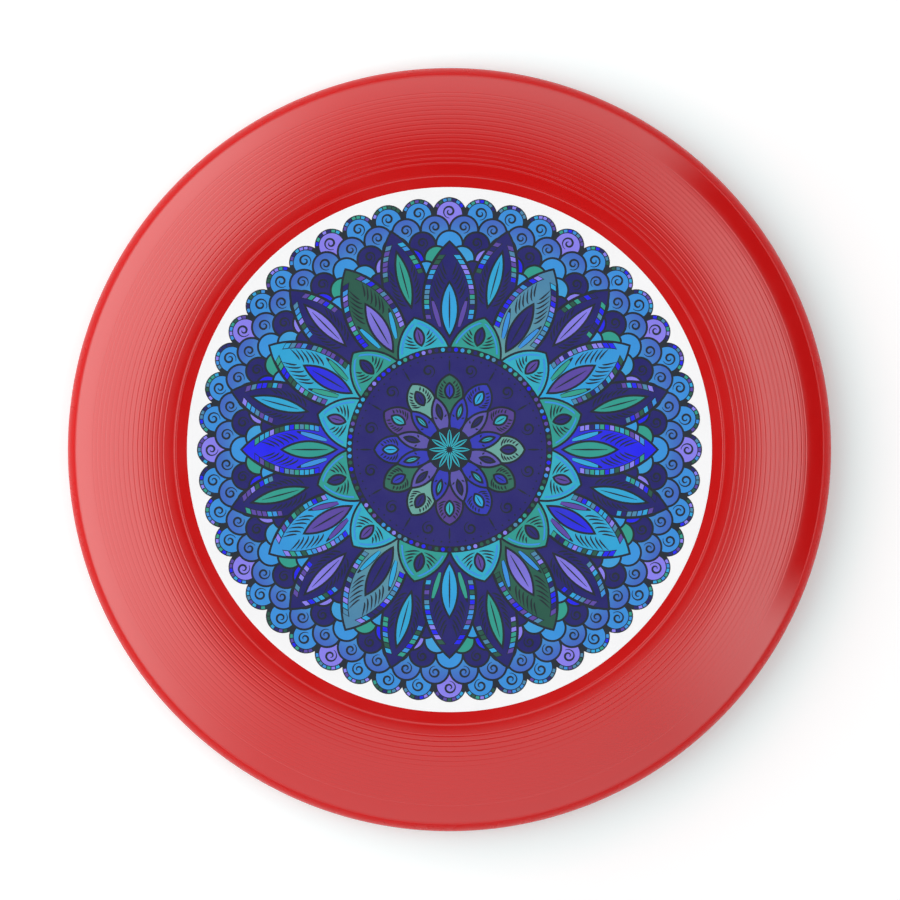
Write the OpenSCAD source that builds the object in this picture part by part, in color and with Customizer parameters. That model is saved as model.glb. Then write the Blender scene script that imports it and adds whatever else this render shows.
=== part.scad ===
// Flying disc with a round printed medallion on its flat crown.
// It lies crown up: the axis is Z, the rim stands on Z = 0, and sizes are in millimetres.

/* [Disc] */
// Diameter over the rim
disc_d = 250; // [200:1:300]
// Height from the foot of the rim to the top of the flat plate
disc_h = 26.5; // [22:0.5:36]
// Wall of the plate and the shoulder
wall = 1.7; // [1.3:0.05:2.4]
// Radial width of the curved shoulder
shoulder_w = 31.9; // [26:0.1:42]
// Slope of the shoulder where it meets the lip, in degrees
shoulder_slope = 42; // [35:1:52]

/* [Rim] */
// Radial width of the lip outside the shoulder
lip_w = 2.7; // [2:0.1:3.5]
// Radius of the lip's rounding
lip_round_r = 11.5; // [8:0.5:14]
// Radius of the gentle tuck below the widest line
tuck_r = 30; // [20:1:60]
// Thickness of the rim at its widest line
rim_t = 3.6; // [3:0.1:5]
// Rounding of the foot on its outer side
foot_outer_r = 1; // [0.5:0.1:1.2]
// Rounding of the foot on its inner side
foot_inner_r = 0.8; // [0.4:0.1:1]
// Rounding inside, between the rim and the shoulder
inner_round_r = 4; // [1:0.5:6]

/* [Flow rings] */
// Number of fine grooves round the shoulder
groove_count = 17; // [1:1:20]
// Spacing of the grooves, measured along the shoulder
groove_pitch = 1.62; // [1:0.01:1.95]
// Distance along the shoulder from the plate to the first groove
groove_start = 2.5; // [1:0.1:3]
// Depth of a groove
groove_depth = 0.22; // [0.1:0.01:0.35]
// Radius of a groove's round bottom
groove_r = 0.45; // [0.4:0.01:0.7]
// Width of the raised bead round the plate
bead_w = 1.2; // [0.8:0.1:2]
// Height of the raised bead
bead_h = 0.15; // [0.05:0.01:0.3]
// Distance from the bead's middle to the plate's edge
bead_inset = 0.84; // [0.8:0.02:2]

/* [Gate] */
// Diameter of the shallow gate recess under the plate
gate_d = 9; // [5:0.5:20]
// Depth of the gate recess
gate_depth = 0.4; // [0.2:0.1:0.8]

/* [Print] */
// Red margin between the bead and the medallion
print_margin = 3.21; // [2:0.01:20]
// Thickness of the white base film
base_t = 0.08; // [0.05:0.01:0.2]
// Thickness of the dark ground ink
ground_t = 0.04; // [0.02:0.01:0.1]
// Thickness of each colour ink
ink_t = 0.04; // [0.02:0.01:0.1]
// Width of the dark line between two colours
line_w = 0.7; // [0.3:0.05:0.9]
// Width of a vein at its thickest
vein_w = 0.5; // [0.3:0.05:0.8]

/* [Hidden] */
$fn = 144;
turn_steps = 240;
groove_steps = 48;
cut_over = 1;

// The section of the moulding, from the axis outwards
disc_r = disc_d / 2;
band_r = disc_r - lip_w;
plate_r = band_r - shoulder_w;
shoulder_r = shoulder_w / sin(shoulder_slope);
shoulder_z = disc_h - shoulder_r;
band_z = shoulder_z + shoulder_r * cos(shoulder_slope);
wide_z = band_z - sqrt(pow(lip_round_r, 2) - pow(lip_round_r - lip_w, 2));

// The foot's outer rounding touches the tuck and the ground
foot_mid_r = disc_r - tuck_r + sqrt(pow(tuck_r - foot_outer_r, 2) - pow(wide_z - foot_outer_r, 2));

// The hollow under the disc
hollow_r = disc_r - rim_t;
hollow_h = disc_h - wall;
hollow_arc_r = shoulder_r - wall;
round_mid_r = hollow_r - inner_round_r;
round_mid_z = shoulder_z + sqrt(pow(hollow_arc_r - inner_round_r, 2) - pow(round_mid_r - plate_r, 2));
round_touch_r = plate_r + (round_mid_r - plate_r) * hollow_arc_r / (hollow_arc_r - inner_round_r);

// The bead is the cap of a larger circle
bead_mid_r = plate_r - bead_inset;
bead_arc_r = (pow(bead_w / 2, 2) + pow(bead_h, 2)) / (2 * bead_h);

// The medallion: its pattern is drawn in hundredths of its radius
medal_r = bead_mid_r - bead_w / 2 - print_margin;
unit = medal_r / 100;
ground_z = disc_h + base_t;
ink_z = ground_z + ground_t;
line_z = ink_z + ink_t;

// Rings of the pattern, in hundredths: where its shapes start, where they end and how wide they are
fold = 12;
scale_count = 4 * fold;
scale_rows = [[89.7, 6.5], [84, 5.4], [78.4, 5.05], [73, 4.7], [68, 4.38]];
scale_rim = 1.75;
between = 180 / fold;
back_petal = [44, 86, 17];
back_leaf = [56, 78, 5];
main_petal = [34, 79.3, 20.5];
main_leaf = [43, 64, 6.4];
crown_petal = [20, 52, 20];
crown_leaf = [41, 48, 3.6];
field_r = 39.3;
field_rim = 2.4;
outer_flower = [13.5, 28.7, 10.4];
outer_leaf = [19.5, 25.4, 3.4];
inner_flower = [5.5, 20.6, 6.2];
inner_leaf = [12, 17.8, 2];
core_r = 8.6;
core_petal = [1, 7.8, 1.75];

// Veins of a ring of petals: where the first starts, their step, how many, and how far each runs
// outwards. They start clear of the leaf and stop at this share of the petal's half width.
vein_reach = 0.8;
vein_gap = 0.9;
back_veins = [58, 3.6, 6, 2.6];
main_veins = [47, 3.6, 7, 3.4];
crown_veins = [42.4, 1.7, 3, 1.6];
outer_veins = [18.6, 1.5, 5, 1];
inner_veins = [12.6, 1.1, 5, 0.7];

// Which ink each shape of a ring takes, going round
SCALE_INKS = [["violet", "sky", "sky", "sky"], ["mid"], ["sky", "navy", "teal", "navy"],
              ["teal", "royal", "violet", "mid"], ["purple", "sky", "green", "navy"]];
BACK_INKS = ["navy"];
BACK_LEAF_INKS = ["teal", "violet", "cyan"];
MAIN_INKS = ["royal", "sky", "slate", "navy", "green", "cyan"];
MAIN_LEAF_INKS = ["teal", "purple", "navy", "sky", "violet", "royal"];
CROWN_INKS = ["teal", "cyan"];
CROWN_LEAF_INKS = ["navy", "purple"];
OUTER_FLOWER_INKS = ["slate", "purple", "royal", "green"];
OUTER_LEAF_INKS = ["navy", "cyan", "sky", "royal"];
INNER_FLOWER_INKS = ["royal", "violet"];
INNER_LEAF_INKS = ["cyan", "navy"];

// ---------------------------------------------------------------- disc

// Outline of the disc filled down to its foot, to the right of the axis
module outer_section() {
    square([plate_r, disc_h]);
    intersection() {
        translate([plate_r, shoulder_z]) circle(r = shoulder_r);
        translate([0, band_z]) square([band_r, disc_h - band_z]);
    }
    translate([0, wide_z]) square([band_r, band_z - wide_z]);
    intersection() {
        translate([disc_r - lip_round_r, wide_z]) circle(r = lip_round_r);
        translate([band_r - lip_w, wide_z]) square([2 * lip_w, band_z - wide_z]);
    }
    intersection() {
        translate([disc_r - tuck_r, wide_z]) circle(r = tuck_r);
        translate([plate_r, foot_outer_r]) square([disc_r - plate_r, wide_z - foot_outer_r]);
    }
    translate([foot_mid_r, foot_outer_r]) circle(r = foot_outer_r);
    square([foot_mid_r, wide_z]);
}

// Outline of the hollow under the disc
module hollow_section() {
    translate([0, -cut_over]) square([plate_r, hollow_h + cut_over]);
    intersection() {
        translate([plate_r, shoulder_z]) circle(r = hollow_arc_r);
        translate([0, round_mid_z]) square([round_touch_r, hollow_h - round_mid_z]);
    }
    translate([round_mid_r, round_mid_z]) circle(r = inner_round_r);
    translate([0, -cut_over]) square([hollow_r, round_mid_z + cut_over]);
}

// The foot's inner corner, to be rounded off
module foot_corner() {
    difference() {
        translate([hollow_r - cut_over, -cut_over])
            square([foot_inner_r + cut_over, foot_inner_r + cut_over]);
        translate([hollow_r + foot_inner_r, foot_inner_r]) circle(r = foot_inner_r);
    }
}

// Small circles that cut the grooves into the shoulder, evenly spaced along it
module groove_sections() {
    for (i = [0 : groove_count - 1]) {
        slope = (groove_start + i * groove_pitch) / shoulder_r * 180 / PI;
        translate([plate_r, shoulder_z])
            rotate(-slope)
                translate([0, shoulder_r + groove_r - groove_depth])
                    circle(r = groove_r, $fn = groove_steps);
    }
}

// The bead's section, rooted in the plate
module bead_section() {
    intersection() {
        translate([bead_mid_r, disc_h + bead_h - bead_arc_r]) circle(r = bead_arc_r);
        translate([bead_mid_r - bead_w, disc_h - wall / 2]) square([2 * bead_w, wall]);
    }
}

module disc_moulding() {
    color("firebrick")
    difference() {
        rotate_extrude($fn = turn_steps) {
            difference() {
                outer_section();
                hollow_section();
                foot_corner();
                groove_sections();
            }
            bead_section();
        }
        translate([0, 0, hollow_h - cut_over]) cylinder(d = gate_d, h = cut_over + gate_depth);
    }
}

// ---------------------------------------------------------------- medallion

// A pointed petal along +X, [root, tip, width] in hundredths: two equal circles overlap in it.
// grow moves its outline outwards in millimetres.
module petal(shape, grow = 0) {
    half_l = (shape[1] - shape[0]) * unit / 2;
    half_w = shape[2] * unit / 2;
    arc_r = (pow(half_l, 2) + pow(half_w, 2)) / (2 * half_w);
    translate([shape[0] * unit + half_l, 0])
        intersection() {
            translate([0, half_w - arc_r]) circle(r = arc_r + grow);
            translate([0, arc_r - half_w]) circle(r = arc_r + grow);
        }
}

// Its children once for each step round a ring
module ring(count, turn = 0) {
    for (i = [0 : count - 1]) rotate(turn + i * 360 / count) children();
}

// The same, but only at the steps that take the ink asked for
module inked_ring(count, inks, ink, turn = 0) {
    for (i = [0 : count - 1])
        if (inks[i % len(inks)] == ink)
            rotate(turn + i * 360 / count) children();
}

function uses(inks, ink) = len([for (name = inks) if (name == ink) name]) > 0;

function row_turn(row) = row % 2 * 180 / scale_count;

// One scale of a row, along +X
module scale(row, grow) {
    translate([scale_rows[row][0] * unit, 0]) circle(r = scale_rows[row][1] * unit + grow);
}

// A ring of equal petals, grown by half a line: what covers the shapes behind it
module cover(count, shape, turn = 0) {
    ring(count, turn) petal(shape, line_w / 2);
}

// Rows of fish scales, each row covered by the next and all by the petals
module scales(ink) {
    last = len(scale_rows) - 1;
    for (row = [0 : last])
        if (uses(SCALE_INKS[row], ink))
            difference() {
                inked_ring(scale_count, SCALE_INKS[row], ink, row_turn(row))
                    scale(row, row == 0 ? -scale_rim * unit : -line_w / 2);
                if (row < last)
                    ring(scale_count, row_turn(row + 1)) scale(row + 1, line_w / 2);
                cover(fold, back_petal, between);
                cover(fold, main_petal);
            }
}

// A ring of petals with a leaf inside each: children are the shapes that cover both
module petals(shape, inks, leaf, leaf_inks, ink, turn = 0) {
    if (uses(inks, ink))
        difference() {
            inked_ring(fold, inks, ink, turn) petal(shape, -line_w / 2);
            cover(fold, leaf, turn);
            children();
        }
    if (uses(leaf_inks, ink))
        difference() {
            inked_ring(fold, leaf_inks, ink, turn) petal(leaf, -line_w / 2);
            children();
        }
}

// Half the width of a petal, in hundredths, at a distance x from the centre
function half_width(shape, x) =
    let (half_l = (shape[1] - shape[0]) / 2, half_w = shape[2] / 2,
         arc_r = (pow(half_l, 2) + pow(half_w, 2)) / (2 * half_w),
         chord = pow(arc_r, 2) - pow(x - shape[0] - half_l, 2))
    max(0, sqrt(max(0, chord)) - arc_r + half_w);

// A stroke with pointed ends between two points, in hundredths: a slim diamond
module stroke(from, to) {
    run = to - from;
    half_l = norm(run) * unit / 2;
    translate(from * unit)
        rotate(atan2(run[1], run[0]))
            polygon([[0, 0], [half_l, -vein_w / 2], [2 * half_l, 0], [half_l, vein_w / 2]]);
}

// The veins of one petal and its leaf, along +X
module veins(shape, leaf, row) {
    for (i = [0 : row[2] - 1], side = [-1, 1]) {
        start_x = row[0] + i * row[1];
        end_x = start_x + row[3];
        start_y = half_width(leaf, start_x) + vein_gap;
        end_y = vein_reach * half_width(shape, end_x);
        if (end_y > start_y + vein_gap) stroke([start_x, side * start_y], [end_x, side * end_y]);
    }
}

// The plain field round the flower, inside its beaded rim
module field(ink) {
    if (ink == "navy")
        difference() {
            circle(r = (field_r - field_rim) * unit);
            cover(fold, outer_flower);
            cover(fold, inner_flower, between);
            circle(r = core_r * unit);
        }
}

// The star at the centre
module core(ink) {
    if (ink == "cyan") ring(fold) petal(core_petal);
}

// One colour of the print
module ink_film(ink) {
    translate([0, 0, ink_z])
        linear_extrude(ink_t) {
            scales(ink);
            petals(back_petal, BACK_INKS, back_leaf, BACK_LEAF_INKS, ink, between) {
                cover(fold, main_petal);
                cover(fold, crown_petal, between);
            }
            petals(main_petal, MAIN_INKS, main_leaf, MAIN_LEAF_INKS, ink) {
                cover(fold, crown_petal, between);
                circle(r = field_r * unit);
            }
            petals(crown_petal, CROWN_INKS, crown_leaf, CROWN_LEAF_INKS, ink, between)
                circle(r = field_r * unit);
            field(ink);
            petals(outer_flower, OUTER_FLOWER_INKS, outer_leaf, OUTER_LEAF_INKS, ink)
                cover(fold, inner_flower, between);
            petals(inner_flower, INNER_FLOWER_INKS, inner_leaf, INNER_LEAF_INKS, ink, between)
                circle(r = core_r * unit);
            core(ink);
        }
}

module white_base_print() {
    color("white") translate([0, 0, disc_h]) cylinder(r = medal_r, h = base_t, $fn = turn_steps);
}

// The scalloped dark ground that shows as the lines between the colours
module dark_ground_ink() {
    color("#1c2632")
    translate([0, 0, ground_z])
        linear_extrude(ground_t) {
            circle(r = scale_rows[0][0] * unit);
            ring(scale_count) scale(0, 0);
        }
}

// The dark lines drawn over the colours: the veins of every ring of petals
module dark_line_ink() {
    color("#1c2632")
    translate([0, 0, line_z])
        linear_extrude(ink_t) {
            difference() {
                ring(fold, between) veins(back_petal, back_leaf, back_veins);
                cover(fold, main_petal);
            }
            difference() {
                ring(fold) veins(main_petal, main_leaf, main_veins);
                cover(fold, crown_petal, between);
            }
            ring(fold, between) veins(crown_petal, crown_leaf, crown_veins);
            ring(fold) veins(outer_flower, outer_leaf, outer_veins);
            ring(fold, between) veins(inner_flower, inner_leaf, inner_veins);
        }
}

module navy_ink() { color("#262078") ink_film("navy"); }
module royal_blue_ink() { color("#2323f0") ink_film("royal"); }
module mid_blue_ink() { color("#3c78d2") ink_film("mid"); }
module sky_blue_ink() { color("#30a0e6") ink_film("sky"); }
module cyan_ink() { color("#2dbed2") ink_film("cyan"); }
module teal_ink() { color("#2da596") ink_film("teal"); }
module slate_ink() { color("#5596a5") ink_film("slate"); }
module green_ink() { color("#286455") ink_film("green"); }
module violet_ink() { color("#8278eb") ink_film("violet"); }
module purple_ink() { color("#6950af") ink_film("purple"); }

disc_moulding();
white_base_print();
dark_ground_ink();
navy_ink();
royal_blue_ink();
mid_blue_ink();
sky_blue_ink();
cyan_ink();
teal_ink();
slate_ink();
green_ink();
violet_ink();
purple_ink();
dark_line_ink();
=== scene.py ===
"""A red flying disc with a round printed rosette, seen from straight above in a white studio."""

import math
import random

import bmesh
import bpy
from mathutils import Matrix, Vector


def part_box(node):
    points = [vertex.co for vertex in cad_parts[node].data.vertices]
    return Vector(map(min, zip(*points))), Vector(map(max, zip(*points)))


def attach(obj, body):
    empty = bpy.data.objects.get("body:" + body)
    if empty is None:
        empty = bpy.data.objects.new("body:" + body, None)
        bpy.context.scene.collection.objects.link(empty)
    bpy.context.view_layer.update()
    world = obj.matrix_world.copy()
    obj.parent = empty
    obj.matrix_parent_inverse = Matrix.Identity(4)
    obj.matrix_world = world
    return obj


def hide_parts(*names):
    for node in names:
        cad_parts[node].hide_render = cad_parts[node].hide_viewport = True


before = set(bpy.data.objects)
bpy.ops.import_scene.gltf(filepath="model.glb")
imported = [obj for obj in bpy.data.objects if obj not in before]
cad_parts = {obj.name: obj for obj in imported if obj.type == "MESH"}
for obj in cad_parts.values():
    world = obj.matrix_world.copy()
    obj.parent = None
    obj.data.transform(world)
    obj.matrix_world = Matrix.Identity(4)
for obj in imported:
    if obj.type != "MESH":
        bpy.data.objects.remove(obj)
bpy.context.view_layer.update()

MM = 0.001
BODY = "root"

# ------------------------------------------------------------------ sizes, in millimetres
# Those that the CAD model holds are read from it.
DISC_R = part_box("disc_moulding")[1].x / MM
PLATE_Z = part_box("white_base_print")[0].z / MM
BASE_TOP_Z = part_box("white_base_print")[1].z / MM
MEDAL_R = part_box("white_base_print")[1].x / MM
INK_Z = [corner.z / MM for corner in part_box("navy_ink")]
LINE_Z = [corner.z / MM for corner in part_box("dark_line_ink")]
UNIT = MEDAL_R / 100

WALL = 1.7
SHOULDER_W = 31.9
SHOULDER_SLOPE = math.radians(42)
LIP_W = 2.7
LIP_ROUND_R = 11.5
TUCK_R = 30
RIM_T = 3.6
FOOT_OUTER_R = 1
FOOT_INNER_R = 0.8
INNER_ROUND_R = 4
GROOVE_COUNT = 16
GROOVE_PITCH = 1.64
GROOVE_START = 3.2
GROOVE_DEPTH = 0.05
GROOVE_R = 0.9
BEAD_W = 0.8
BEAD_H = 0.06
BEAD_INSET = 0.84
GATE_R = 4.5
GATE_DEPTH = 0.4

REVOLVE_STEPS = 320
ROUND_STEPS = 480


# ------------------------------------------------------------------ meshes
def new_piece(name, bm, material, smooth=False):
    """A mesh object from bm, in metres, that rides on the disc."""
    bmesh.ops.recalc_face_normals(bm, faces=bm.faces)
    mesh = bpy.data.meshes.new(name)
    bm.to_mesh(mesh)
    bm.free()
    for polygon in mesh.polygons:
        polygon.use_smooth = smooth
    mesh.materials.append(material)
    piece = bpy.data.objects.new(name, mesh)
    bpy.context.scene.collection.objects.link(piece)
    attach(piece, BODY)
    return piece


def revolve(profile, steps):
    """A closed body of revolution. profile runs from the axis back to the axis, in millimetres."""
    bm = bmesh.new()
    rings = []
    for r, z in profile:
        if r < 1e-9:
            rings.append([bm.verts.new((0, 0, z * MM))])
            continue
        ring = []
        for i in range(steps):
            turn = 2 * math.pi * i / steps
            ring.append(bm.verts.new((r * math.cos(turn) * MM, r * math.sin(turn) * MM, z * MM)))
        rings.append(ring)
    for inner, outer in zip(rings, rings[1:]):
        for i in range(steps):
            j = (i + 1) % steps
            corners = [inner[i % len(inner)], outer[i % len(outer)]]
            corners += [outer[j % len(outer)], inner[j % len(inner)]]
            bm.faces.new(list(dict.fromkeys(corners)))
    return bm


def arc(centre, radius, start, end, steps):
    """Points along an arc in the section, by angle above the r axis in degrees."""
    points = []
    for i in range(steps + 1):
        angle = math.radians(start + (end - start) * i / steps)
        points.append((centre[0] + radius * math.cos(angle), centre[1] + radius * math.sin(angle)))
    return points


# ------------------------------------------------------------------ the moulding's section
BAND_R = DISC_R - LIP_W
PLATE_R = BAND_R - SHOULDER_W
SHOULDER_R = SHOULDER_W / math.sin(SHOULDER_SLOPE)
SHOULDER_Z = PLATE_Z - SHOULDER_R
BAND_Z = SHOULDER_Z + SHOULDER_R * math.cos(SHOULDER_SLOPE)
WIDE_Z = BAND_Z - math.sqrt(LIP_ROUND_R ** 2 - (LIP_ROUND_R - LIP_W) ** 2)


def bead_section():
    """The raised bead near the plate's edge, from its inner side to its outer side."""
    arc_r = ((BEAD_W / 2) ** 2 + BEAD_H ** 2) / (2 * BEAD_H)
    mid_r = PLATE_R - BEAD_INSET
    half = math.degrees(math.asin(BEAD_W / 2 / arc_r))
    return arc((mid_r, PLATE_Z + BEAD_H - arc_r), arc_r, 90 + half, 90 - half, 8)


def groove_depth(along):
    """How deep the surface lies under the shoulder's arc, at a distance along it."""
    nearest = round((along - GROOVE_START) / GROOVE_PITCH)
    nearest = min(max(nearest, 0), GROOVE_COUNT - 1)
    off = along - GROOVE_START - nearest * GROOVE_PITCH
    if abs(off) >= GROOVE_R:
        return 0
    return max(0, math.sqrt(GROOVE_R ** 2 - off ** 2) - (GROOVE_R - GROOVE_DEPTH))


def shoulder_section():
    """The shoulder with its grooves, from the plate to the lip."""
    half_w = math.sqrt(GROOVE_R ** 2 - (GROOVE_R - GROOVE_DEPTH) ** 2)
    offsets = [-1.2, -1.04, -0.96, -0.6, -0.3, 0, 0.3, 0.6, 0.96, 1.04, 1.2]
    stations = [0, 0.05, GROOVE_START / 4, GROOVE_START / 2]
    for i in range(GROOVE_COUNT):
        middle = GROOVE_START + i * GROOVE_PITCH
        stations += [middle + offset * half_w for offset in offsets]
    end = SHOULDER_R * SHOULDER_SLOPE
    smooth_steps = 9
    last = stations[-1]
    stations += [last + (end - last) * (i + 1) / smooth_steps for i in range(smooth_steps)]
    stations.insert(-1, end - 0.08)
    points = []
    for along in stations:
        slope = along / SHOULDER_R
        reach = SHOULDER_R - groove_depth(along)
        points.append((PLATE_R + reach * math.sin(slope), SHOULDER_Z + reach * math.cos(slope)))
    return points


def rim_section():
    """Lip, outer wall and foot, down to the foot's flat land."""
    lip_mid = (DISC_R - LIP_ROUND_R, WIDE_Z)
    start = math.degrees(math.asin((BAND_Z - WIDE_Z) / LIP_ROUND_R))
    points = arc(lip_mid, LIP_ROUND_R, start, 0, 14)
    points.insert(1, arc(lip_mid, LIP_ROUND_R, start, start - 0.5, 1)[1])
    inner = TUCK_R - FOOT_OUTER_R
    foot_r = DISC_R - TUCK_R + math.sqrt(inner ** 2 - (WIDE_Z - FOOT_OUTER_R) ** 2)
    tuck_end = -math.degrees(math.asin((WIDE_Z - FOOT_OUTER_R) / inner))
    points += arc((DISC_R - TUCK_R, WIDE_Z), TUCK_R, 0, tuck_end, 7)[1:]
    points += arc((foot_r, FOOT_OUTER_R), FOOT_OUTER_R, tuck_end, -90, 7)[1:]
    return points


def hollow_section():
    """The inside, from the foot's inner edge up the rim and back to the axis."""
    hollow_r = DISC_R - RIM_T
    arc_r = SHOULDER_R - WALL
    round_r = hollow_r - INNER_ROUND_R
    reach = arc_r - INNER_ROUND_R
    round_z = SHOULDER_Z + math.sqrt(reach ** 2 - (round_r - PLATE_R) ** 2)
    touch = math.degrees(math.acos((round_r - PLATE_R) / reach))
    points = arc((hollow_r + FOOT_INNER_R, FOOT_INNER_R), FOOT_INNER_R, 270, 180, 6)
    points += arc((round_r, round_z), INNER_ROUND_R, 0, touch, 8)
    points += arc((PLATE_R, SHOULDER_Z), arc_r, touch, 90, 20)[1:]
    ceiling = PLATE_Z - WALL
    points += [(r, ceiling) for r in (75, 55, 35, 18, GATE_R + 0.9, GATE_R + 0.2)]
    points += [(GATE_R, ceiling + 0.15), (GATE_R - 0.05, ceiling + GATE_DEPTH - 0.1)]
    points += [(GATE_R - 0.3, ceiling + GATE_DEPTH), (0, ceiling + GATE_DEPTH)]
    return points


def disc_section():
    bead_foot = PLATE_R - BEAD_INSET - BEAD_W / 2
    plate = [(r, PLATE_Z) for r in (0, 20, 40, 60, 75, 84, 88, bead_foot - 0.05)]
    return plate + bead_section() + shoulder_section() + rim_section() + hollow_section()


# ------------------------------------------------------------------ material helpers
def linear(code):
    """A colour as seen, #rrggbb, in Blender's linear numbers."""
    channels = [int(code[i:i + 2], 16) / 255 for i in (1, 3, 5)]
    out = [c / 12.92 if c <= 0.04045 else ((c + 0.055) / 1.055) ** 2.4 for c in channels]
    return (*out, 1)


class Graph:
    """A node tree with one call for each node."""

    def __init__(self, tree):
        self.tree = tree
        tree.nodes.clear()

    def node(self, kind, settings=(), **inputs):
        node = self.tree.nodes.new(kind)
        for key, value in dict(settings).items():
            setattr(node, key, value)
        for key, value in inputs.items():
            name = int(key[1:]) if key[0] == "i" and key[1:].isdigit() else key.replace("_", " ")
            self.feed(node.inputs[name], value)
        return node

    def feed(self, socket, value):
        if isinstance(value, bpy.types.NodeSocket):
            self.tree.links.new(value, socket)
        elif socket.type == "VECTOR":
            socket.default_value = value[:3]
        else:
            socket.default_value = value

    def maths(self, operation, a, b=0.0):
        node = self.node("ShaderNodeMath", {"operation": operation}, i0=a, i1=b)
        return node.outputs[0]

    def ramp(self, value, low, high, out_low=0.0, out_high=1.0):
        """value mapped smoothly from low..high to out_low..out_high, and held beyond."""
        settings = {"interpolation_type": "SMOOTHSTEP"}
        inputs = {"Value": value, "From_Min": low, "From_Max": high}
        inputs.update({"To_Min": out_low, "To_Max": out_high})
        return self.node("ShaderNodeMapRange", settings, **inputs).outputs[0]

    def noise(self, vector, scale, detail=3.0, roughness=0.5):
        node = self.node("ShaderNodeTexNoise", (), Vector=vector, Scale=scale, Detail=detail)
        node.inputs["Roughness"].default_value = roughness
        return node.outputs["Fac"]

    def mix(self, factor, a, b):
        node = self.node("ShaderNodeMix", {"data_type": "RGBA"})
        self.feed(node.inputs[0], factor)
        self.feed(node.inputs[6], a)
        self.feed(node.inputs[7], b)
        return node.outputs[2]


def new_material(name):
    material = bpy.data.materials.new(name)
    material.use_nodes = True
    graph = Graph(material.node_tree)
    shader = graph.node("ShaderNodeBsdfPrincipled")
    output = graph.node("ShaderNodeOutputMaterial")
    graph.tree.links.new(shader.outputs[0], output.inputs[0])
    place = graph.node("ShaderNodeTexCoord").outputs["Object"]
    return material, graph, shader, place


def radius_in_units(graph, place):
    """Distance from the disc's axis, in hundredths of the medallion's radius."""
    flat = graph.node("ShaderNodeVectorMath", {"operation": "MULTIPLY"}, i0=place, i1=(1, 1, 0))
    length = graph.node("ShaderNodeVectorMath", {"operation": "LENGTH"}, i0=flat.outputs[0])
    return graph.maths("DIVIDE", length.outputs["Value"], UNIT * MM)


# ------------------------------------------------------------------ materials
RED_DEEP = (0.59, 0.0068, 0.0072, 1)
RED_CLEAR = (0.63, 0.0086, 0.0084, 1)


def red_plastic():
    """Moulded polyethylene: even colour, soft flow mottling, a fine orange peel under a satin gloss. Over the
    lip the gloss is turned almost off, painted shade that darkens the lip's reflection.
    """
    material, graph, shader, place = new_material("red_plastic")
    mottle = graph.noise(place, 22, 4)
    graph.feed(shader.inputs["Base Color"], graph.mix(mottle, RED_DEEP, RED_CLEAR))
    haze = graph.noise(place, 60, 5, 0.6)
    satin = graph.ramp(haze, 0.3, 0.7, 0.1, 0.15)
    rim = BAND_R / UNIT
    out = radius_in_units(graph, place)
    scuffed = graph.ramp(out, rim - 0.4, rim + 1, 0, 0.15)
    graph.feed(shader.inputs["Roughness"], graph.maths("ADD", satin, scuffed))
    shader.inputs["IOR"].default_value = 1.7
    # Painted shade: the specular level falls from 0.66 to 0.04 over the lip, so the lip reflects darkly
    # instead of showing the bright floor
    graph.feed(shader.inputs["Specular IOR Level"], graph.ramp(out, rim - 0.6, rim + 0.6, 0.66, 0.04))
    peel = graph.noise(place, 900, 2)
    grain = graph.noise(place, 5200, 2)
    height = graph.maths("ADD", graph.maths("MULTIPLY", peel, 0.7), graph.maths("MULTIPLY", grain, 0.3))
    bump = graph.node("ShaderNodeBump", (), Strength=0.35, Distance=0.00001, Height=height)
    graph.feed(shader.inputs["Normal"], bump.outputs[0])
    return material


def print_film(name, colour, grain=0.03, roughness=0.42):
    """A printed film: its colour with the faint grain of ink. colour takes the graph and the place."""
    material, graph, shader, place = new_material(name)
    tone = colour(graph, place)
    speckle = graph.noise(place, 2600, 3, 0.7)
    patch = graph.noise(place, 140, 3)
    shade = graph.ramp(speckle, 0.3, 0.7, 1 - grain, 1)
    shade = graph.maths("MULTIPLY", shade, graph.ramp(patch, 0.3, 0.7, 1 - grain, 1))
    dark = graph.node("ShaderNodeVectorMath", {"operation": "SCALE"}, i0=tone)
    graph.feed(dark.inputs["Scale"], shade)
    graph.feed(shader.inputs["Base Color"], dark.outputs[0])
    graph.feed(shader.inputs["Roughness"], graph.ramp(patch, 0.3, 0.7, roughness - 0.05, roughness + 0.05))
    shader.inputs["Specular IOR Level"].default_value = 0.4
    bump = graph.node("ShaderNodeBump", (), Strength=0.3, Distance=0.000008, Height=speckle)
    graph.feed(shader.inputs["Normal"], bump.outputs[0])
    return material


def plain(code):
    """A film of one colour."""
    return lambda graph, place: linear(code)


def shaded(inner, outer, start, end):
    """A film whose colour runs from inner to outer between two distances from the centre."""
    def colour(graph, place):
        factor = graph.ramp(radius_in_units(graph, place), start, end)
        return graph.mix(factor, linear(inner), linear(outer))
    return colour


# Each ink's slot, its colours near the centre and further out, and the distances between them
INKS = {
    "navy": ("navy_print", "#252071", "#1d1b6c", 20, 84),
    "royal_blue": ("royal_blue_print", "#3038b8", "#1c1cf4", 30, 70),
    "mid_blue": ("mid_blue_print", "#3aa0dc", "#3f66c4", 74, 90),
    "sky_blue": ("sky_blue_print", "#2aa9e0", "#3690e0", 40, 94),
    "cyan": ("cyan_print", "#2eb0c2", "#2aa6dc", 30, 80),
    "teal": ("teal_print", "#2a9c92", "#2c9e8c", 40, 84),
    "slate": ("slate_print", "#6aa79e", "#4a86ac", 20, 79),
    "green": ("green_print", "#2d6e5c", "#225848", 20, 79),
    "violet": ("violet_print", "#5c54ac", "#8a80f0", 20, 80),
    "purple": ("purple_print", "#543f90", "#5b46a6", 20, 60),
}
DARK_INK = "#1b2531"


def dress_cad_inks():
    """Gives every ink film that the CAD model holds its printed finish."""
    for ink, (slot, *tones) in INKS.items():
        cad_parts[ink + "_ink"].data.materials[0] = print_film(slot, shaded(*tones))
    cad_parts["dark_ground_ink"].data.materials[0] = print_film("dark_ink", plain(DARK_INK))


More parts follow.
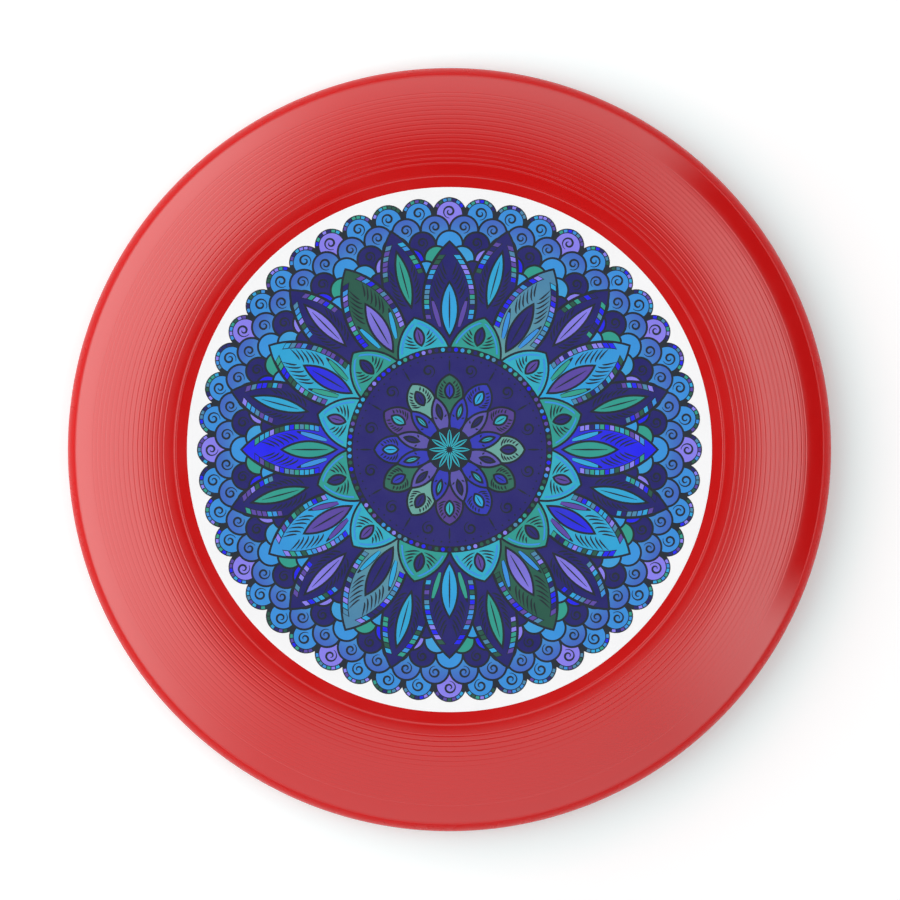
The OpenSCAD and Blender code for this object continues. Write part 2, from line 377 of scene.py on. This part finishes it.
def fine_film(name, code):
    """The finish of small printed details: one colour under a slightly uneven sheen."""
    material, graph, shader, place = new_material(name)
    shader.inputs["Base Color"].default_value = linear(code)
    patch = graph.noise(place, 140, 3)
    graph.feed(shader.inputs["Roughness"], graph.ramp(patch, 0.3, 0.7, 0.37, 0.47))
    shader.inputs["Specular IOR Level"].default_value = 0.4
    return material


# ------------------------------------------------------------------ the print's pattern
# Its shapes are in hundredths of the medallion's radius, as in the CAD model. A petal is a pointed
# lens along +X: where it starts, where it ends and how wide it is.
FOLD = 12
BETWEEN = 180 / FOLD
BACK_PETAL = (44, 86, 17)
MAIN_PETAL = (34, 79.3, 20.5)
CROWN_PETAL = (20, 52, 20)
OUTER_FLOWER = (13.5, 28.7, 10.4)
INNER_FLOWER = (5.5, 20.6, 6.2)
BACK_LEAF = (56, 78, 5)
MAIN_LEAF = (43, 64, 6.4)
CROWN_LEAF = (41, 48, 3.6)
OUTER_LEAF = (19.5, 25.4, 3.4)
INNER_LEAF = (12, 17.8, 2)
FIELD_R = 39.3
CORE_R = 8.6
SCALE_COUNT = 48
SCALE_ROWS = [(89.7, 2.55), (84, 2.4), (78.4, 2.2), (73, 2)]
HALF_LINE = 0.41
COVER_GAP = 0.25

# Pen lines: how wide they are, how they bend, and how near a vein comes to its leaf
VEIN_W = 0.62
VEIN_BEND = 1.7
VEIN_GAP = 0.95
VEIN_LEAST = 0.9
VEIN_STEPS = 6
CURL_W = 0.78
CURL_TURNS = 1.45
CURL_STEPS = 26

# Small shapes: the scallops' cells, the field's beads and dots, the petals' borders and leaflets
EDGE_CELLS = 7
EDGE_CELL_ANGLE = 18
EDGE_CELL_REACH = (6.1, 5.1)
BEAD_COUNT = 96
BEAD_RING_R = 38.1
DOT_COUNT = 72
DOT_RING_R = 35.2
FIELD_CURL_R = 31
FIELD_LINES = ((29.8, 34.3, 0.7), (2, 7.2, 0.6))
CROWN_BORDER = (1.2, 1.85)
MOSAIC_INSET = 0.35
MOSAIC_W = 2.35
MOSAIC_EDGE = 0.3
MOSAIC_PITCH = 1.9
LEAFLET_FOOT = (45.2, 3.15)
LEAFLET_RUN = (13, 3.7)
LEAFLET_HALF_W = 1.25
LEAFLET_STEPS = 8

MIX_INKS = ["navy", "royal_blue", "cyan", "teal", "sky_blue", "purple", "slate", "green", "violet"]

GROUND_LEVELS = INK_Z
LINE_LEVELS = LINE_Z
LINE_MIDDLE = (LINE_Z[0] + LINE_Z[1]) / 2
UNDER_LEVELS = (LINE_Z[0], LINE_MIDDLE)
OVER_LEVELS = (LINE_MIDDLE, LINE_Z[1])


class Film:
    """Thin closed solids of one ink, gathered into one mesh. Points are in hundredths."""

    def __init__(self):
        self.corners = []
        self.faces = []

    def solid(self, outline, tops, levels, turn=0):
        cos, sin = math.cos(math.radians(turn)), math.sin(math.radians(turn))
        count, base = len(outline), len(self.corners)
        for z in levels:
            for x, y in outline:
                across, along = x * cos - y * sin, x * sin + y * cos
                self.corners.append((across * UNIT * MM, along * UNIT * MM, z * MM))
        self.faces += [[base + count + i for i in top] for top in tops]
        self.faces += [[base + i for i in reversed(top)] for top in tops]
        for i in range(count):
            j = (i + 1) % count
            self.faces.append([base + i, base + j, base + count + j, base + count + i])

    def strip(self, sides, levels, turn=0):
        """A solid between the two sides of a strip, given as pairs of points."""
        outline = [right for left, right in sides] + [left for left, right in reversed(sides)]
        last = len(outline) - 1
        tops = [(i, i + 1, last - 1 - i, last - i) for i in range(len(sides) - 1)]
        self.solid(outline, tops, levels, turn)

    def dot(self, centre, radius, levels, turn=0, corners=10):
        outline = []
        for i in range(corners):
            angle = 2 * math.pi * i / corners
            outline.append((centre[0] + radius * math.cos(angle), centre[1] + radius * math.sin(angle)))
        self.solid(outline, [range(corners)], levels, turn)

    def piece(self, name, material, slot):
        mesh = bpy.data.meshes.new(name)
        mesh.from_pydata(self.corners, [], self.faces)
        bm = bmesh.new()
        bm.from_mesh(mesh)
        bpy.data.meshes.remove(mesh)
        return new_piece(name, bm, material)


def half_width(shape, x, inset=0):
    """Half a petal's width at x, its outline moved inwards by inset. It is below 0 beyond its ends."""
    half_l, half_w = (shape[1] - shape[0]) / 2, shape[2] / 2
    arc_r = (half_l ** 2 + half_w ** 2) / (2 * half_w)
    chord = (arc_r - inset) ** 2 - (x - shape[0] - half_l) ** 2
    return math.sqrt(max(chord, 0)) - arc_r + half_w


def covered(point, shape, turn=0):
    """True if a ring of twelve such petals, with the lines round them, covers the point."""
    reach = math.hypot(*point)
    step = 360 / FOLD
    angle = math.degrees(math.atan2(point[1], point[0])) - turn
    angle = math.radians(angle - round(angle / step) * step)
    return abs(reach * math.sin(angle)) < half_width(shape, reach * math.cos(angle), -HALF_LINE - COVER_GAP)


def clear_run(sides, covers, least_r):
    """The longest run of a strip that no petal in front and nothing nearer the centre covers."""
    best, run = [], []
    for pair in sides:
        hidden = any(covered(point, *cover) for point in pair for cover in covers)
        hidden = hidden or min(math.hypot(*point) for point in pair) < least_r
        run = [] if hidden else run + [pair]
        best = max(best, run, key=len)
    return best


def stroke(path, width):
    """The sides of a pen line along path, fine at its ends."""
    sides = []
    last = len(path) - 1
    for i, (x, y) in enumerate(path):
        ahead, behind = path[min(i + 1, last)], path[max(i - 1, 0)]
        dx, dy = ahead[0] - behind[0], ahead[1] - behind[1]
        half = width / 2 * (0.2 + 0.8 * math.sin(math.pi * i / last)) / math.hypot(dx, dy)
        sides.append(((x - dy * half, y + dx * half), (x + dy * half, y - dx * half)))
    return sides


def curl(centre, radius, hand):
    """A curled pen line round a point, opening towards the disc's centre."""
    path = []
    for i in range(CURL_STEPS + 1):
        t = i / CURL_STEPS
        angle = math.pi + hand * 2 * math.pi * CURL_TURNS * t
        reach = radius * (1 - 0.8 * t)
        path.append((centre[0] + reach * math.cos(angle), centre[1] + reach * math.sin(angle)))
    return stroke(path, CURL_W)


def draw_veins(dark, shape, leaf, row, margin, turn, covers, least_r):
    """Curved veins from the leaf towards a petal's edge, and the leaf's midrib."""
    start, step, count, run = row
    for petal in range(FOLD):
        spin = turn + petal * 360 / FOLD
        for side in (-1, 1):
            for i in range(count):
                x = start + i * step
                low = max(half_width(leaf, x), 0) + VEIN_GAP
                high = half_width(shape, x + run) - margin
                if high - low < VEIN_LEAST:
                    continue
                path = []
                for k in range(VEIN_STEPS + 1):
                    t = k / VEIN_STEPS
                    path.append((x + run * t ** VEIN_BEND, side * (low + (high - low) * t)))
                sides = clear_run(stroke(path, VEIN_W), covers, least_r)
                if len(sides) > 4:
                    dark.strip(sides, LINE_LEVELS, spin)
        length = leaf[1] - leaf[0]
        rib = [(leaf[0] + length * (0.16 + 0.66 * k / VEIN_STEPS), 0) for k in range(VEIN_STEPS + 1)]
        dark.strip(stroke(rib, 0.1 + leaf[2] * 0.08), LINE_LEVELS, spin)


def draw_mosaic(films, chance, shape, turn, covers, least_r):
    """A dark band inside a petal's outline with a row of small coloured cells on it."""
    count = int((shape[1] - shape[0]) / MOSAIC_PITCH)
    for petal in range(FOLD):
        for side in (-1, 1):
            sides = []
            for i in range(count):
                x = shape[1] - 1.2 - i * MOSAIC_PITCH
                outer = half_width(shape, x, MOSAIC_INSET)
                inner = half_width(shape, x, MOSAIC_INSET + MOSAIC_W)
                if inner > 0.25:
                    sides.append(((x, side * outer), (x, side * inner)))
            sides = clear_run(sides, covers, least_r)
            spin = turn + petal * 360 / FOLD
            if len(sides) < 3:
                continue
            films["dark"].strip(sides, UNDER_LEVELS, spin)
            for (here, _), (there, _) in zip(sides, sides[1:]):
                cell = []
                for x in (here[0] - 0.2, there[0] + 0.2):
                    outer = side * half_width(shape, x, MOSAIC_INSET + MOSAIC_EDGE)
                    inner = side * half_width(shape, x, MOSAIC_INSET + MOSAIC_W - MOSAIC_EDGE)
                    cell.append(((x, outer), (x, inner)))
                films[chance.choice(MIX_INKS)].strip(cell, OVER_LEVELS, spin)


def draw_scales(films, chance):
    """Coloured cells round the scalloped edge and a curl in every scale that shows whole."""
    for i in range(SCALE_COUNT):
        spin = i * 360 / SCALE_COUNT
        for cell in range(EDGE_CELLS):
            start = (cell - EDGE_CELLS / 2) * EDGE_CELL_ANGLE
            sides = []
            for step in (2, 6, 11, 16):
                angle = math.radians(start + step)
                sides.append(tuple((SCALE_ROWS[0][0] + reach * math.cos(angle), reach * math.sin(angle))
                                   for reach in EDGE_CELL_REACH))
            films[chance.choice(MIX_INKS)].strip(sides, GROUND_LEVELS, spin)
        for row, (reach, radius) in enumerate(SCALE_ROWS):
            turn = spin + row % 2 * 180 / SCALE_COUNT
            sides = curl((reach + 1, 0), radius, 1 if i % 2 else -1)
            covers = [(BACK_PETAL, BETWEEN - turn), (MAIN_PETAL, -turn)]
            if len(clear_run(sides, covers, 0)) == len(sides):
                films["dark"].strip(sides, LINE_LEVELS, turn)


def draw_leaflets(films):
    """A small outlined leaf at each side of the main petals' leaves."""
    for petal in range(FOLD):
        for side in (-1, 1):
            for shrink, film, levels in ((0, films["dark"], UNDER_LEVELS),
                                         (0.36, films[MIX_INKS[petal % 4 + 2]], OVER_LEVELS)):
                sides = []
                for k in range(LEAFLET_STEPS + 1):
                    t = k / LEAFLET_STEPS
                    x, y = LEAFLET_FOOT[0] + LEAFLET_RUN[0] * t, LEAFLET_FOOT[1] + LEAFLET_RUN[1] * t
                    swell = math.sin(math.pi * (0.06 + 0.88 * t))
                    half = max((LEAFLET_HALF_W - shrink) * swell, 0.12)
                    sides.append(((x, side * (y + half)), (x, side * (y - half))))
                sides = sides[1:-1] if shrink else sides
                sides = clear_run(sides, [(CROWN_PETAL, BETWEEN)], FIELD_R)
                film.strip(sides, levels, petal * 360 / FOLD)


def draw_field(films, chance):
    """Beads on the field's dark rim, dots and curls inside it, and the crown petals' borders."""
    for i in range(BEAD_COUNT):
        bead = films[chance.choice(MIX_INKS)]
        bead.dot((BEAD_RING_R, 0), 0.78, GROUND_LEVELS, i * 360 / BEAD_COUNT)
    for i in range(DOT_COUNT):
        films["dark"].dot((DOT_RING_R, 0), 0.34, LINE_LEVELS, i * 360 / DOT_COUNT, 8)
    for i in range(FOLD):
        spin = BETWEEN + i * 360 / FOLD
        films["dark"].strip(curl((FIELD_CURL_R, 0), 2.6, 1), LINE_LEVELS, spin)
        for start, end, width in FIELD_LINES:
            path = [(start + (end - start) * k / 6, 0) for k in range(7)]
            films["dark"].strip(stroke(path, width), LINE_LEVELS, spin - BETWEEN)
        for side in (-1, 1):
            sides = []
            for k in range(24):
                x = CROWN_PETAL[1] - 0.8 - k * 0.5
                edges = [half_width(CROWN_PETAL, x, inset) for inset in CROWN_BORDER]
                if edges[1] > 0.2:
                    sides.append(tuple((x, side * edge) for edge in edges))
            sides = clear_run(sides, [], FIELD_R + 0.6)
            films["sky_blue"].strip(sides, LINE_LEVELS, spin)


def make_print_details():
    """The fine pattern printed over and between the plain colours."""
    chance = random.Random(12)
    films = {ink: Film() for ink in [*MIX_INKS, "dark"]}
    dark = films["dark"]
    # What covers each ring of petals, turned as that ring sees it
    behind_crown = [(CROWN_PETAL, BETWEEN)]
    behind_main = [(CROWN_PETAL, 0), (MAIN_PETAL, BETWEEN)]
    draw_scales(films, chance)
    draw_mosaic(films, chance, BACK_PETAL, BETWEEN, behind_main, FIELD_R)
    draw_mosaic(films, chance, MAIN_PETAL, 0, behind_crown, FIELD_R)
    draw_leaflets(films)
    draw_field(films, chance)
    draw_veins(dark, BACK_PETAL, BACK_LEAF, (57, 2, 12, 3), 3.1, BETWEEN, behind_main, FIELD_R)
    draw_veins(dark, MAIN_PETAL, MAIN_LEAF, (57.6, 1.8, 10, 5), 3.4, 0, behind_crown, FIELD_R)
    draw_veins(dark, CROWN_PETAL, CROWN_LEAF, (40.4, 1.3, 6, 1.8), 2.4, BETWEEN, [], FIELD_R + 0.6)
    draw_veins(dark, OUTER_FLOWER, OUTER_LEAF, (18.6, 1.1, 7, 1.2), 0.9, 0, [(INNER_FLOWER, BETWEEN)], CORE_R)
    draw_veins(dark, INNER_FLOWER, INNER_LEAF, (12.6, 1.1, 5, 0.7), 0.75, BETWEEN, [], CORE_R)
    for ink in MIX_INKS:
        slot, _, tone = INKS[ink][:3]
        films[ink].piece(ink + "_details", fine_film(ink + "_fine", tone), slot)
    lines = dark.piece("dark_line_details", fine_film("dark_fine", DARK_INK), "dark_line_print")
    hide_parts("dark_line_ink")


# ------------------------------------------------------------------ the disc and the white base
def make_disc():
    disc = new_piece("disc_shell", revolve(disc_section(), REVOLVE_STEPS), red_plastic(),
                     smooth=True)
    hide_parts("disc_moulding")


def make_white_base():
    edge = (BASE_TOP_Z - PLATE_Z) / 2
    profile = [(0, BASE_TOP_Z), (MEDAL_R / 2, BASE_TOP_Z), (MEDAL_R - edge, BASE_TOP_Z)]
    profile += [(MEDAL_R, BASE_TOP_Z - edge), (MEDAL_R, PLATE_Z), (MEDAL_R / 2, PLATE_Z), (0, PLATE_Z)]
    base = new_piece("white_base_film", revolve(profile, ROUND_STEPS),
                     print_film("white_print", plain("#fafafb"), 0.012))
    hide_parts("white_base_print")


# ------------------------------------------------------------------ studio
LIGHT_LEVEL = 0.575
LIT_AZIMUTH = 165
FLOOR_HALF_W = 8
FLOOR_GAP = 0.02
# The floor is less red close to the disc, whose bounce would tint it
FLOOR_BY_DISC = (0.79, 0.95, 0.95, 1)
FLOOR_WHITE = (0.95, 0.95, 0.95, 1)


def make_world():
    """A studio in the world: a big soft box on the left, a smaller high one on the right."""
    world = bpy.data.worlds.new("studio")
    bpy.context.scene.world = world
    world.use_nodes = True
    graph = Graph(world.node_tree)
    direction = graph.node("ShaderNodeTexCoord").outputs["Generated"]
    xyz = graph.node("ShaderNodeSeparateXYZ", (), Vector=direction).outputs
    zenith = graph.maths("DEGREES", graph.maths("ARCCOSINE", xyz[2]))
    flat = graph.node("ShaderNodeVectorMath", {"operation": "MULTIPLY"}, i0=direction, i1=(1, 1, 0))
    level = graph.node("ShaderNodeVectorMath", {"operation": "NORMALIZE"}, i0=flat.outputs[0])

    def linear_ramp(value, low, high):
        node = graph.node("ShaderNodeMapRange", (), Value=value, From_Min=low, From_Max=high)
        return node.outputs[0]

    def towards(azimuth, low, high):
        """1 near an azimuth in degrees and 0 away from it, by the cosine of the angle between."""
        turn = math.radians(azimuth)
        aim = (math.cos(turn), math.sin(turn), 0)
        dot = graph.node("ShaderNodeVectorMath", {"operation": "DOT_PRODUCT"},
                         i0=level.outputs[0], i1=aim)
        return graph.ramp(dot.outputs["Value"], low, high)

    def times(*factors):
        out = factors[0]
        for factor in factors[1:]:
            out = graph.maths("MULTIPLY", out, factor)
        return out

    def less(value):
        return graph.maths("SUBTRACT", 1.0, value)

    front = towards(282, 0.3, 0.9)
    left_box = times(towards(173, 0.35, 0.98), graph.ramp(zenith, 62, 74, 2.6, 3.3))
    right_box = times(towards(5, 0.5, 0.95), linear_ramp(zenith, 8, 36), 2.1)
    fill = graph.ramp(front, 0, 1, 1.25, 1.5)
    boxes = graph.maths("ADD", graph.maths("ADD", left_box, right_box), fill)
    overhead = graph.maths("MAXIMUM", linear_ramp(zenith, 2, 32), times(front, linear_ramp(zenith, 1, 12)))
    back = towards(75, 0.6, 0.88)
    back_gap = less(times(back, less(linear_ramp(zenith, 6, 46))))
    right_gap = less(times(towards(14, 0.72, 0.86), graph.ramp(zenith, 60, 72)))
    back_glow = times(towards(95, 0.6, 0.9), graph.ramp(zenith, 40, 82), 0.9)
    light = graph.maths("ADD", times(boxes, overhead, back_gap, right_gap), back_glow)
    studio = graph.node("ShaderNodeBackground", (), Strength=times(light, LIGHT_LEVEL))
    white = graph.node("ShaderNodeBackground", (), Strength=1.0)
    path = graph.node("ShaderNodeLightPath").outputs
    seen = graph.maths("MAXIMUM", path["Is Camera Ray"], path["Is Transmission Ray"])
    choice = graph.node("ShaderNodeMixShader", (), i0=seen, i1=studio.outputs[0], i2=white.outputs[0])
    output = graph.node("ShaderNodeOutputWorld")
    graph.tree.links.new(choice.outputs[0], output.inputs[0])


def make_floor():
    """A white sweep that keeps the disc's shadow, and glows more on the side the light comes from: painted
    light on the floor.
    """
    bm = bmesh.new()
    bmesh.ops.create_grid(bm, x_segments=1, y_segments=1, size=FLOOR_HALF_W)
    mesh = bpy.data.meshes.new("floor")
    bm.to_mesh(mesh)
    bm.free()
    floor = bpy.data.objects.new("floor", mesh)
    floor.location.z = -FLOOR_GAP * MM
    bpy.context.scene.collection.objects.link(floor)
    material = bpy.data.materials.new("floor_white")
    material.use_nodes = True
    graph = Graph(material.node_tree)
    place = graph.node("ShaderNodeTexCoord").outputs["Object"]
    out = graph.node("ShaderNodeVectorMath", {"operation": "LENGTH"}, i0=place).outputs["Value"]
    away = graph.ramp(out, DISC_R * MM, 1.2 * DISC_R * MM)
    tone = graph.mix(away, FLOOR_BY_DISC, FLOOR_WHITE)
    # Painted light: the floor's own glow is stronger towards the lit side, a painted pool of light that keeps
    # the floor white beside the disc there
    lit_side = (math.cos(math.radians(LIT_AZIMUTH)), math.sin(math.radians(LIT_AZIMUTH)), 0)
    side = graph.node("ShaderNodeVectorMath", {"operation": "DOT_PRODUCT"}, i0=place, i1=lit_side)
    glow = graph.ramp(side.outputs["Value"], -0.11, 0.13, 0.11, 0.36)
    matt = graph.node("ShaderNodeBsdfDiffuse", (), Color=tone)
    lift = graph.node("ShaderNodeEmission", (), Color=(1, 1, 1, 1), Strength=glow)
    both = graph.node("ShaderNodeAddShader", (), i0=matt.outputs[0], i1=lift.outputs[0])
    path = graph.node("ShaderNodeLightPath").outputs
    rays = graph.maths("MAXIMUM", path["Is Camera Ray"], path["Is Glossy Ray"])
    rays = graph.maths("MAXIMUM", rays, path["Is Transmission Ray"])
    choice = graph.node("ShaderNodeMixShader", (), i0=rays, i1=matt.outputs[0], i2=both.outputs[0])
    output = graph.node("ShaderNodeOutputMaterial")
    graph.tree.links.new(choice.outputs[0], output.inputs[0])
    mesh.materials.append(material)


def make_camera():
    """A long lens straight above the disc."""
    lens = 1000
    share_of_picture = 0.8483
    data = bpy.data.cameras.new("camera")
    data.lens = lens
    data.sensor_width = 36
    data.clip_end = 50
    camera = bpy.data.objects.new("camera", data)
    distance = DISC_R * MM * lens / (data.sensor_width / 2) / share_of_picture
    camera.location = (0.00017, -0.00013, WIDE_Z * MM + distance)
    bpy.context.scene.collection.objects.link(camera)
    bpy.context.scene.camera = camera


make_camera()
make_world()
make_floor()
make_disc()
make_white_base()
dress_cad_inks()
make_print_details()

bpy.context.scene.view_settings.view_transform = "Standard"
